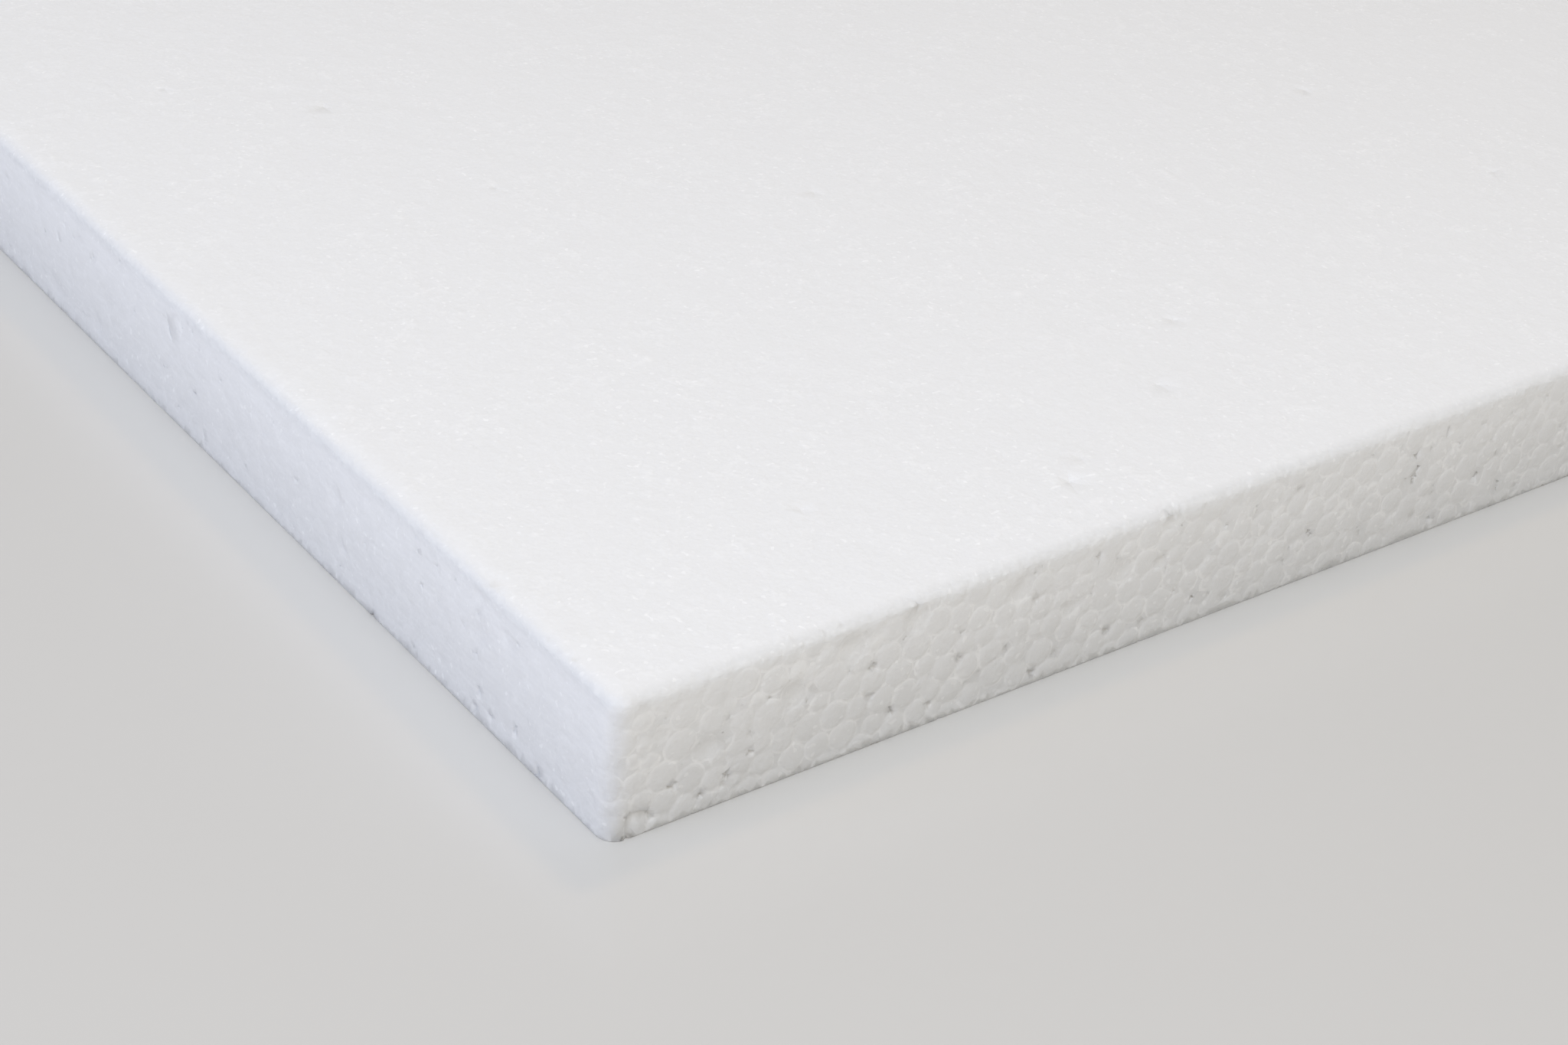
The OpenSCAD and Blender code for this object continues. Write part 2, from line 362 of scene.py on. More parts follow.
def wrap(sheet, depth):
    """Points of the sheet, put on the board and moved into the foam by their depth."""
    point, outward = outline(sheet[:, 0])
    inset, height, sideways, upward = profile(sheet[:, 1])
    place = np.column_stack([point - outward * inset[:, None], height])
    normal = np.column_stack([outward * sideways[:, None], upward])
    return place - normal * depth[:, None]


def sheet_place(side, distance, height):
    """Place on the sheet of a mark on the front or the left side, from the corner in view."""
    past_corner = distance - CORNER_RADIUS
    along = past_corner if side == FRONT else OUTLINE - CORNER_ARC - past_corner
    return along, height - LOWER_RADIUS + SIDE_START


# ---------------------------------------------------------------- packing the beads

def triangulate(points):
    """Delaunay triangles of scattered points, each one counter-clockwise."""
    made = delaunay_2d_cdt([Vector(p) for p in points.tolist()], [], [], 0, 1e-5)
    source = np.array([ids[0] for ids in made[3]])
    corners = source[np.array(made[2])]
    a, b, c = (points[corners[:, k]] for k in range(3))
    area = (b[:, 0] - a[:, 0]) * (c[:, 1] - a[:, 1]) - (b[:, 1] - a[:, 1]) * (c[:, 0] - a[:, 0])
    corners[area < 0] = corners[area < 0][:, ::-1]
    return corners[np.abs(area) > 1e-6]


def with_ends(points, reach):
    """The points again, with copies just past both ends of the sheet, and the number of each original."""
    number = np.arange(len(points))
    after = points[:, 0] < reach
    before = points[:, 0] > OUTLINE - reach
    shift = np.array([OUTLINE, 0.0])
    return (np.concatenate([points, points[after] + shift, points[before] - shift]),
            np.concatenate([number, number[after], number[before]]))


def edges_of(triangles):
    """Each edge of the triangles once."""
    pairs = np.concatenate([triangles[:, [0, 1]], triangles[:, [1, 2]], triangles[:, [2, 0]]])
    return np.unique(np.sort(pairs, axis=1), axis=0)


def pack_beads():
    """Middles and radii of the bead sections on the sheet, pushed apart until they fit."""
    placed = np.array([sheet_place(FRONT, x, z) for x, z, radius in FRONT_BEADS])
    placed_radius = np.array([radius for x, z, radius in FRONT_BEADS])
    # A cut goes through a bead anywhere, so most sections are nearly whole and a few are small
    most_off = math.sqrt(1 - SMALLEST_SECTION ** 2)
    mean_area = math.pi * BEAD_RADIUS ** 2 * (1 - most_off ** 2 / 3)
    count = int(PACKED * OUTLINE * SHEET_HEIGHT / mean_area) - len(placed)
    radius = BEAD_RADIUS * np.sqrt(1 - (most_off * rng.random(count)) ** 2)
    radius = radius * rng.uniform(*RADIUS_SPREAD, count)
    middle = rng.random((count, 2)) * [OUTLINE, SHEET_HEIGHT]
    middle = np.concatenate([placed, middle])
    radius = np.concatenate([placed_radius, radius])
    loose = np.arange(len(middle)) >= len(placed)
    for _ in range(PACKING_ROUNDS):
        points, number = with_ends(middle, PACKING_OVERLAP)
        pairs = edges_of(triangulate(points))
        gap = points[pairs[:, 1]] - points[pairs[:, 0]]
        distance = np.maximum(np.hypot(gap[:, 0], gap[:, 1]), 1e-6)
        wanted = FUSED * (radius[number[pairs[:, 0]]] + radius[number[pairs[:, 1]]])
        push = np.clip(wanted - distance, 0, LARGEST_OVERLAP) * PUSH_SHARE
        move = gap / distance[:, None] * push[:, None]
        shift = np.zeros_like(middle)
        real = pairs < len(middle)
        for end, sign in ((0, -1), (1, 1)):
            own = real[:, end]
            np.add.at(shift, pairs[own, end], sign * move[own])
        middle[loose] += shift[loose]
        middle[:, 0] %= OUTLINE
        middle[:, 1] = np.clip(middle[:, 1], -PAST_EDGE, SHEET_HEIGHT + PAST_EDGE)
    return middle, radius


# ---------------------------------------------------------------- cells of the packing

def power_corner(points, radius, three):
    """The point that has the same power to three beads."""
    a, b, c = (points[three[:, k]] for k in range(3))
    weight = [(points[three[:, k]] ** 2).sum(1) - radius[three[:, k]] ** 2 for k in range(3)]
    ab, ac = b - a, c - a
    right_b = (weight[1] - weight[0]) / 2
    right_c = (weight[2] - weight[0]) / 2
    det = ab[:, 0] * ac[:, 1] - ab[:, 1] * ac[:, 0]
    det = np.where(np.abs(det) < 1e-9, 1e-9, det)
    x = (right_b * ac[:, 1] - right_c * ab[:, 1]) / det
    y = (right_c * ab[:, 0] - right_b * ac[:, 0]) / det
    return np.column_stack([x, y])


def nearest_beads(places, points, radius, how_many=3):
    """The beads with the least power at each place, nearest first."""
    found = np.empty((len(places), how_many), int)
    for start in range(0, len(places), AT_ONCE):
        part = places[start:start + AT_ONCE]
        power = ((part[:, None, :] - points[None]) ** 2).sum(2) - radius ** 2
        few = np.argpartition(power, how_many, axis=1)[:, :how_many]
        order = np.argsort(np.take_along_axis(power, few, 1), axis=1)
        found[start:start + AT_ONCE] = np.take_along_axis(few, order, 1)
    return found


class Cells:
    """The bead sections as cells that fill the sheet: their corners, walls and neighbours."""

    def __init__(self, middle, radius):
        self.points, self.number = with_ends(middle, CELL_OVERLAP)
        self.radius = radius[self.number]
        self.count = len(middle)
        three = triangulate(self.points)
        for _ in range(CELL_ROUNDS):
            corner = power_corner(self.points, self.radius, three)
            sane = (corner[:, 0] > -STRAY) & (corner[:, 0] < OUTLINE + STRAY)
            sane &= np.abs(corner[:, 1]) < SHEET_HEIGHT + STRAY
            three, corner = three[sane], corner[sane]
            three = np.unique(np.sort(nearest_beads(corner, self.points, self.radius), axis=1), axis=0)
        corner = power_corner(self.points, self.radius, three)
        again = np.sort(nearest_beads(corner, self.points, self.radius), axis=1)
        true = (again == three).all(1)
        self.three, self.corner = three[true], corner[true]
        self._walls()

    def _walls(self):
        """Finds the wall between each two neighbours, and the neighbours of each bead."""
        ends = {}
        for k, (a, b, c) in enumerate(self.three.tolist()):
            for pair in ((a, b), (a, c), (b, c)):
                ends.setdefault(pair, []).append(k)
        self.wall_beads = np.array([pair for pair, at in ends.items() if len(at) == 2])
        self.wall_ends = np.array([at for at in ends.values() if len(at) == 2])
        near = [[] for _ in range(len(self.points))]
        for a, b in ends:
            near[a].append(b)
            near[b].append(a)
        most = max(map(len, near))
        self.near = np.array([(row + [-1] * most)[:most] for row in near])

    def edge_distance(self, places, owner):
        """How far each place is inside the round outline of a bead, and less than zero between beads."""
        gap = places - self.points[owner]
        return (self.radius[owner] ** 2 - (gap ** 2).sum(1)) / (2 * BEAD_RADIUS)

    def wall_distance(self, places, owner):
        """How far each place is from the nearest wall of the bead that it is in."""
        near = self.near[owner]
        own = self.points[owner][:, None, :]
        way = self.points[near] - own
        distance = np.maximum(np.hypot(way[..., 0], way[..., 1]), 1e-6)
        wall = (distance ** 2 + self.radius[owner][:, None] ** 2 - self.radius[near] ** 2) / (2 * distance)
        reach = wall - ((places[:, None, :] - own) * way / distance[..., None]).sum(2)
        return np.where(near < 0, FAR, reach).min(1)


# ---------------------------------------------------------------- points on the rim

def hand_placed(cells, usable):
    """For each gap with a place of its own, the cell corner nearest to it and its size."""
    wanted = [(sheet_place(FRONT, x, z), size) for x, z, size in FRONT_GAPS]
    wanted += [(sheet_place(LEFT, x, z), size) for x, z, size in LEFT_GAPS]
    wanted += [(sheet_place(LEFT, x, NICK_HEIGHT), NICK_WAIST) for x in LEFT_NICKS]
    found = {}
    for place, size in wanted:
        distance = np.hypot(*(cells.corner - place).T)
        distance[~usable] = FAR
        found[int(distance.argmin())] = size
    return found


class Points:
    """Points of the mesh on the sheet, each with its depth and what the material reads."""

    def __init__(self, cells):
        self.cells = cells
        self.place, self.values = [], []

    def add(self, place, owner, depth, wall, hollow=0.0, tone=0.0):
        """Adds points that lie in or on the rim of the beads that own them."""
        edge = self.cells.edge_distance(place, owner)
        columns = [np.broadcast_to(np.asarray(v, float), (len(place),))
                   for v in (depth, wall, edge, hollow, tone)]
        self.place.append(place)
        self.values.append(np.column_stack(columns))

    def arrays(self):
        return np.concatenate(self.place), np.concatenate(self.values)


def arris_share(up):
    """1 where the sheet bends round an arris or lies on a broad face, 0 on the side proper."""
    off = np.maximum(SIDE_START - up, up - SIDE_END)
    return np.clip(off / UPPER_ARC + ARRIS_LEAD, 0, 1)


def bead_relief(cells):
    """How far each bead rounds back at its wall, and how deep the middle is where a bead tore out."""
    many = cells.count
    up = cells.points[:many, 1]
    low = (up > SIDE_START + FOOT_COURSE[0]) & (up < SIDE_START + FOOT_COURSE[1])
    whole = rng.random(many) < np.where(low, WHOLE_AT_FOOT, WHOLE_ELSEWHERE)
    bulge = np.where(whole, rng.uniform(*WHOLE_BULGE, many), rng.uniform(*CUT_BULGE, many))
    placed = np.arange(many) < len(FRONT_BEADS)
    bulge[placed] = rng.uniform(*PLACED_BULGE, placed.sum())
    bulge[0] = RINGED_BULGE
    dish = np.zeros(many)
    torn = (rng.random(many) < TORN_SHARE) & ~placed & ~whole
    for x, z in FRONT_TORN:
        torn[np.hypot(*(cells.points[:many] - sheet_place(FRONT, x, z)).T).argmin()] = True
    dish[torn] = rng.uniform(*TORN_DEPTH, torn.sum())
    bulge[torn] = rng.uniform(*TORN_BULGE, torn.sum())
    return bulge[cells.number], dish[cells.number]


def openness(cells, usable):
    """How readily each corner between three beads stays open."""
    first = cells.three[:, 0]
    up = cells.corner[:, 1]
    natural = np.hypot(*(cells.corner - cells.points[first]).T) - cells.radius[first]
    score = (natural + 0.05) * rng.uniform(*OPEN_SPREAD, len(natural))
    score[~usable] = -1
    score[arris_share(up) > 0.1] *= OPEN_AT_ARRIS
    score[up < SIDE_START + 1] *= OPEN_AT_FOOT
    endwise = outline(cells.corner[:, 0])[1][:, 0] ** 2
    return score * (1 - CLOSED_AT_ENDS * endwise)


class Gaps:
    """The corners between three beads: which ones stay open, how wide, how deep and how hollow."""

    def __init__(self, cells):
        along, up = cells.corner.T
        clear_of_edges = (up > CORNER_ROOM) & (up < SHEET_HEIGHT - CORNER_ROOM)
        self.usable = (along >= 0) & (along < OUTLINE) & clear_of_edges
        score = openness(cells, self.usable)
        quantiles = [1 - OPEN_SHARE, 1 - DEEP_SHARE]
        open_from, deep_from = np.quantile(score[self.usable], quantiles)
        self.deep = score > deep_from
        self.deep &= ~((along < PLAIN_RUN) & (up > SIDE_START))
        small = (score > open_from) & ~self.deep
        self.size = np.zeros(len(score))
        self.size[small] = rng.uniform(*SMALL_GAP, small.sum())
        self.size[self.deep] = rng.uniform(*DEEP_GAP, self.deep.sum())
        for corner, waist in hand_placed(cells, self.usable).items():
            self.deep[corner] = True
            self.size[corner] = waist
        self.opened = self.usable & (self.size > 0)
        deep_bottom = rng.uniform(*DEEP_DEPTH, len(score))
        small_bottom = rng.uniform(*SMALL_DEPTH, len(score))
        bottom = np.where(self.deep, deep_bottom, small_bottom)
        self.bottom = np.where(arris_share(up) > 0.25, np.minimum(bottom, ARRIS_DEPTH), bottom)
        self.hollow = np.where(self.deep, 1.0, SMALL_HOLLOW)


def add_walls(points, cells, gaps, bulge, tone):
    """Points along each wall between two beads, short of the gaps at its ends."""
    a, b = cells.wall_ends.T
    owner = cells.wall_beads[:, 0]
    start, end = cells.corner[a], cells.corner[b]
    run = np.hypot(*(end - start).T)
    way = (end - start) / np.maximum(run, 1e-6)[:, None]
    cusp_a = np.minimum(CUSP_REACH * gaps.size[a] + CUSP_EXTRA, CUSP_SHARE * run)
    cusp_b = np.minimum(CUSP_REACH * gaps.size[b] + CUSP_EXTRA, CUSP_SHARE * run)
    depth = bulge[cells.wall_beads].mean(1)
    wall_tone = tone[cells.wall_beads].mean(1)
    # The first bead with a place of its own stands in a groove
    grooved = (cells.number[cells.wall_beads] == 0).any(1) & (((start + end) / 2)[:, 1] > GROOVE_FROM)
    depth[grooved] = RING_DEPTH
    hollow = np.where(grooved, GROOVE_HOLLOW, 0.0)
    cusp_hollow = np.maximum(hollow, MOUTH_HOLLOW)
    for corner, reach, near, sense in ((a, cusp_a, start, 1), (b, cusp_b, end, -1)):
        cusp = (gaps.size[corner] > 0) & (run > SHORTEST_WALL)
        place = near + sense * way * reach[:, None]
        points.add(place[cusp], owner[cusp], depth[cusp], 0.0, cusp_hollow[cusp], wall_tone[cusp])
        inner = cusp & gaps.deep[corner]
        place = near + sense * way * (reach * FLOOR_SHARE)[:, None]
        points.add(place[inner], owner[inner], gaps.bottom[corner][inner], 0.0, 1.0)
    free_from = np.where(gaps.size[a] > 0, cusp_a, 0.0)
    free_to = run - np.where(gaps.size[b] > 0, cusp_b, 0.0)
    pieces = np.clip(np.round((free_to - free_from) / POINT_SPACING), 1, MOST_PIECES).astype(int)
    for many in range(2, MOST_PIECES + 1):
        chosen = pieces == many
        for k in range(1, many):
            along = free_from + (free_to - free_from) * k / many
            place = start + way * along[:, None]
            points.add(place[chosen], owner[chosen], depth[chosen], 0.0, hollow[chosen], wall_tone[chosen])


def add_corners(points, cells, gaps, bulge, tone):
    """Points at each corner: a plain meeting of three walls, or a gap with a waist at each bead."""
    first = cells.three[:, 0]
    grooved = (cells.number[cells.three] == 0).any(1) & (cells.corner[:, 1] > GROOVE_FROM)
    depth = np.where(grooved, RING_DEPTH, bulge[cells.three].mean(1)) + CORNER_SINK
    hollow = np.where(grooved, GROOVE_HOLLOW, CORNER_HOLLOW)
    closed = gaps.usable & (gaps.size == 0)
    points.add(cells.corner[closed], first[closed], depth[closed], 0.0, hollow[closed])
    opened = gaps.opened
    points.add(cells.corner[opened], first[opened], gaps.bottom[opened], 0.0, gaps.hollow[opened])
    inner = opened & gaps.deep
    for bead in cells.three.T:
        toward = cells.points[bead] - cells.corner
        toward /= np.maximum(np.hypot(*toward.T), 1e-6)[:, None]
        mouth = cells.corner + toward * gaps.size[:, None]
        depth = bulge[bead] * MOUTH_SHARE
        points.add(mouth[opened], bead[opened], depth[opened], MOUTH_WALL, MOUTH_HOLLOW, tone[bead][opened])
        floor = cells.corner + toward * (gaps.size * FLOOR_SHARE)[:, None]
        points.add(floor[inner], bead[inner], gaps.bottom[inner], 0.0, 1.0)


def add_beads(points, cells, bulge, dish, tone):
    """For each bead a point in its middle, and an inner ring of points."""
    beads = np.arange(cells.count)
    middle = cells.points[beads]
    points.add(middle, beads, dish[beads], cells.wall_distance(middle, beads), 0.0, tone[beads])
    ring_count = np.clip(np.round(cells.radius[beads] * RING_DENSITY), *RING_POINTS).astype(int)
    phase = rng.uniform(0, 2 * math.pi, cells.count)
    depth = bulge[beads] * RING_AT ** 2 + dish[beads] * (1 - RING_AT ** 3)
    for k in range(RING_POINTS[1]):
        chosen = ring_count > k
        scatter = rng.uniform(-RING_SCATTER, RING_SCATTER, cells.count)
        angle = phase + 2 * math.pi * k / ring_count + scatter
        way = np.column_stack([np.cos(angle), np.sin(angle)])
        reach = ray_to_wall(cells, beads, way)
        place = middle + way * (RING_AT * reach)[:, None]
        wall = cells.wall_distance(place, beads)
        points.add(place[chosen], beads[chosen], depth[chosen], wall[chosen], 0.0, tone[beads][chosen])


def ray_to_wall(cells, bead, way):
    """How far it is from each bead's middle to its wall, that way."""
    near = cells.near[bead]
    between = cells.points[near] - cells.points[bead][:, None, :]
    distance = np.maximum(np.hypot(between[..., 0], between[..., 1]), 1e-6)
    wall = (distance ** 2 + cells.radius[bead][:, None] ** 2 - cells.radius[near] ** 2) / (2 * distance)
    facing = (between / distance[..., None] * way[:, None, :]).sum(2)
    reach = np.where((near >= 0) & (facing > 0.05), wall / np.maximum(facing, 0.05), FAR).min(1)
    return np.clip(reach, WALL_REACH[0], WALL_REACH[1] * cells.radius[bead])


def hold_arrises(points, cells, gaps):
    """Adds rows of points along each arris, so that it stays as sharp as it is, save at a gap."""
    count = int(OUTLINE / ARRIS_SPACING)
    rows = [ARC_START + LOWER_ARC / 2] + [SIDE_END + UPPER_ARC * share for share in UPPER_ROWS]
    for up in rows:
        scatter = rng.uniform(-ARRIS_SCATTER, ARRIS_SCATTER, count)
        along = (np.arange(count) + scatter) * OUTLINE / count % OUTLINE
        place = np.column_stack([along, np.full(count, up)])
        near_row = gaps.opened & (np.abs(cells.corner[:, 1] - up) < 2)
        away = np.hypot(*(place[:, None, :] - cells.corner[near_row][None]).transpose(2, 0, 1))
        place = place[(away > GAP_CLEAR * gaps.size[near_row]).all(1)]
        bead = nearest_beads(place, cells.points, cells.radius)[:, 0]
        points.add(place, bead, ARRIS_SINK, cells.wall_distance(place, bead))


def rim_points(cells):
    """All points on the sheet but those of its long edges."""
    bulge, dish = bead_relief(cells)
    tone = rng.normal(0, 1, cells.count)[cells.number]
    gaps = Gaps(cells)
    points = Points(cells)
    add_walls(points, cells, gaps, bulge, tone)
    add_corners(points, cells, gaps, bulge, tone)
    add_beads(points, cells, bulge, dish, tone)
    hold_arrises(points, cells, gaps)
    return points.arrays()


# ---------------------------------------------------------------- waves and faces

def waves(places, length, many, draw):
    """A smooth random field over places, about 0, with features about as long as given."""
    total = np.zeros(len(places))
    for _ in range(many):
        way = draw.normal(size=places.shape[1])
        way *= 2 * math.pi / length / np.linalg.norm(way) * draw.uniform(0.7, 1.4)
        total += np.sin(places @ way + draw.uniform(0, 2 * math.pi))
    return total / math.sqrt(many * 2)


def sway(places):
    """How far a cut wanders into the foam."""
    draw = np.random.default_rng(SEED + 1)
    long_wave = waves(places, 70, 6, draw)
    short_wave = waves(places, 14, 8, draw)
    return np.clip(SWAY + LONG_SWAY * long_wave + SHORT_SWAY * short_wave, 0, MOST_SWAY)


def clarity(surface, way_out):
    """How plainly beads show: less high up, where the cut is smeared, and on the left and right sides."""
    draw = np.random.default_rng(SEED + 3)
    patch = waves(surface, SMEAR_PATCH, 8, draw)
    smeared = np.clip(0.5 * patch + 1.5 * (surface[:, 2] / THICKNESS - 0.5), 0, 1)
    return (1 - END_LOSS * way_out[:, 0] ** 2) * (1 - SMEAR_LOSS * smeared)


def face_points(spacing, draw, spots):
    """Points of a broad face, inside the rim's sheet: their plan, depth and glint."""
    half = np.array([LENGTH, WIDTH]) / 2 - FACE_MARGIN - FACE_INSET * spacing
    row_height = spacing * math.sin(math.radians(60))
    rows = int(2 * half[1] / row_height)
    columns = int(2 * half[0] / spacing)
    y, x = np.meshgrid(np.arange(rows + 1), np.arange(columns + 1), indexing="ij")
    share = np.column_stack([(x + (y % 2) / 2).ravel() / (columns + 0.5), y.ravel() / rows])
    plan = share * 2 * half - half
    plan += draw.uniform(-FACE_SCATTER, FACE_SCATTER, plan.shape) * spacing
    plan = np.clip(plan, -half, half)
    depth = draw.uniform(0.0, FACE_DEPTH, len(plan))
    # Room for each spot, then its own ring of points round a middle
    keep = np.ones(len(plan), bool)
    for x, y, radius, sunk, shine in spots:
        keep &= np.hypot(plan[:, 0] - x, plan[:, 1] - y) > radius + SPOT_ROOM
    plan, depth, glint = [plan[keep]], [depth[keep]], [np.zeros(keep.sum())]
    for x, y, radius, sunk, shine in spots:
        angle = draw.uniform(0, 2 * math.pi) + np.arange(SPOT_POINTS) * 2 * math.pi / SPOT_POINTS
        uneven = draw.uniform(*SPOT_UNEVEN, (SPOT_POINTS, 1))
        ring = np.column_stack([np.cos(angle), np.sin(angle)]) * radius * uneven
        plan += [np.array([[x, y]]), ring + [x, y]]
        depth += [np.array([sunk]), np.full(SPOT_POINTS, SPOT_RIM_DEPTH)]
        glint += [np.array([shine]), np.zeros(SPOT_POINTS)]
    return np.concatenate(plan), np.concatenate(depth), np.concatenate(glint)


def face_spots(draw):
    """Glints and pits of the top face: place, radius, depth and shine."""
    corner = np.array([-LENGTH, -WIDTH]) / 2
    spots = [(corner[0] + x, corner[1] + y, radius, 0.0, 1.0) for x, y, radius in TOP_GLINTS]
    spots += [(corner[0] + x, corner[1] + y, radius, PIT_DEPTH, 0.0) for x, y, radius in TOP_PITS]
    for count, low, high, sunk, shine in SCATTERED:
        for _ in range(count):
            x = draw.uniform(-0.5, 0.5) * (LENGTH - 2 * SPOT_MARGIN)
            y = draw.uniform(-0.5, 0.5) * (WIDTH - 2 * SPOT_MARGIN)
            if all(math.hypot(x - spot[0], y - spot[1]) > SPOT_DISTANCE for spot in spots):
                spots.append((x, y, draw.uniform(low, high), sunk, shine * draw.uniform(0.4, 1)))
    return spots


# ---------------------------------------------------------------- the board's mesh

def rim_sheet():
    """Points of the sheet with what each carries, those of its two long edges last, and its triangles."""
    sheet, values = rim_points(Cells(*pack_beads()))
    sheet[:, 0] %= OUTLINE
    keep = (sheet[:, 1] > EDGE_ROOM) & (sheet[:, 1] < SHEET_HEIGHT - EDGE_ROOM)
    along = np.arange(EDGE_COUNT) * OUTLINE / EDGE_COUNT
    edges = [np.column_stack([along, np.full(EDGE_COUNT, up)]) for up in (0.0, SHEET_HEIGHT)]
    sheet = np.concatenate([sheet[keep]] + edges)
    values = np.concatenate([values[keep], np.tile([0, 1, 1, 0, 0], (2 * EDGE_COUNT, 1))])
    doubled, number = with_ends(sheet, MESH_OVERLAP)
    triangles = triangulate(doubled)
    centre = doubled[triangles].mean(1)[:, 0]
    return sheet, values, number[triangles[(centre >= 0) & (centre < OUTLINE)]]


def painted_bend_shade_at(up, way_out, cut):
    """How much painted shade each point gets by lying on the upper arris or at an upright corner."""
    endwise = way_out[:, 0] ** 2
    greyest = SIDE_END + UPPER_ARC / 2 + BEND_SHIFT * (1 - 2 * endwise)
    bend = np.clip(1 - np.abs(up - greyest) / BEND_REACH, 0, 1)
    bend = bend * bend * (3 - 2 * bend) * (1 + END_BEND * endwise)
    return np.maximum(bend, 4 * cut * (way_out[:, 0] * way_out[:, 1]) ** 2)


def shine_at(sheet):
    """How much each point shines by lying in a torn fleck. A fleck is longer than it is high."""
    shine = np.zeros(len(sheet))
    for x, z, radius in FRONT_FLECKS:
        away = np.hypot(*((sheet - sheet_place(FRONT, x, z)) / [FLECK_STRETCH, 1]).T)
        shine = np.maximum(shine, np.clip(1.5 - away / radius, 0, 1))
    return shine


def wrapped_rim(sheet, values):
    """The points of the sheet round the board, and what the material reads at each."""
    depth, wall, edge, hollow, tone = values.T
    up = sheet[:, 1]
    surface = wrap(sheet, np.zeros(len(sheet)))
    way_out = outline(sheet[:, 0])[1]
    clear = clarity(surface, way_out)
    softer = (LEAST_RELIEF + (1 - LEAST_RELIEF) * clear) * (1 - ARRIS_LOSS * arris_share(up))
    flush = np.clip((up - SIDE_START) / FOOT_HEIGHT, FOOT_FLUSH, 1)
    depth = depth * np.where(hollow < FULL_FROM, softer * flush, 1)
    inner = (up > 0) & (up < SHEET_HEIGHT)
    rim = wrap(sheet, depth + sway(surface) * flush * inner)
    cut = 1 - np.clip(np.abs(profile(up)[3]) * 1.2 - 0.1, 0, 1)
    carried = [wall, edge, hollow, tone, cut, clear, painted_bend_shade_at(up, way_out, cut), shine_at(sheet)]
    return rim, np.column_stack(carried)


def build_board():
    """Places, triangles and attributes of the whole board."""
    sheet, values, triangles = rim_sheet()
    rim, carried = wrapped_rim(sheet, values)
    places, attributes, faces = [rim], [carried], [triangles]
    total = len(rim)
    for top in (True, False):
        draw = np.random.default_rng(FACE_SEED + top)
        spots = face_spots(draw) if top else []
        plan, sunk, glint = face_points(TOP_SPACING if top else BOTTOM_SPACING, draw, spots)
        edge = len(rim) - (1 if top else 2) * EDGE_COUNT + np.arange(EDGE_COUNT)
        number = np.concatenate([edge, total + np.arange(len(plan))])
        found = number[triangulate(np.concatenate([rim[edge, :2], plan]))]
        faces.append(found if top else found[:, ::-1])
        places.append(np.column_stack([plan, THICKNESS - sunk if top else sunk]))
        zero = np.zeros(len(plan))
        attributes.append(np.column_stack([zero + 1, zero + 1, zero, zero, zero, zero + 1, zero, glint]))
        total += len(plan)
    return np.concatenate(places), np.concatenate(faces), np.concatenate(attributes)


def make_mesh(name, places, triangles, attributes, names):
    """The board as an object. Points that no triangle uses are left out."""
    used, triangles = np.unique(triangles, return_inverse=True)
    triangles = triangles.reshape(-1, 3)
    places, attributes = places[used], attributes[used]
    places[:, 2] = np.clip(places[:, 2], 0, THICKNESS)
    mesh = bpy.data.meshes.new(name)
    mesh.from_pydata((places * MM).tolist(), [], triangles.tolist())
    for attribute, values in zip(names, attributes.T):
        store = mesh.attributes.new(attribute, "FLOAT", "POINT")
        store.data.foreach_set("value", values.astype(np.float32))
    mesh.update()
    mesh.shade_smooth()
    piece = bpy.data.objects.new(name, mesh)
    bpy.context.scene.collection.objects.link(piece)
    return piece


# ---------------------------------------------------------------- materials

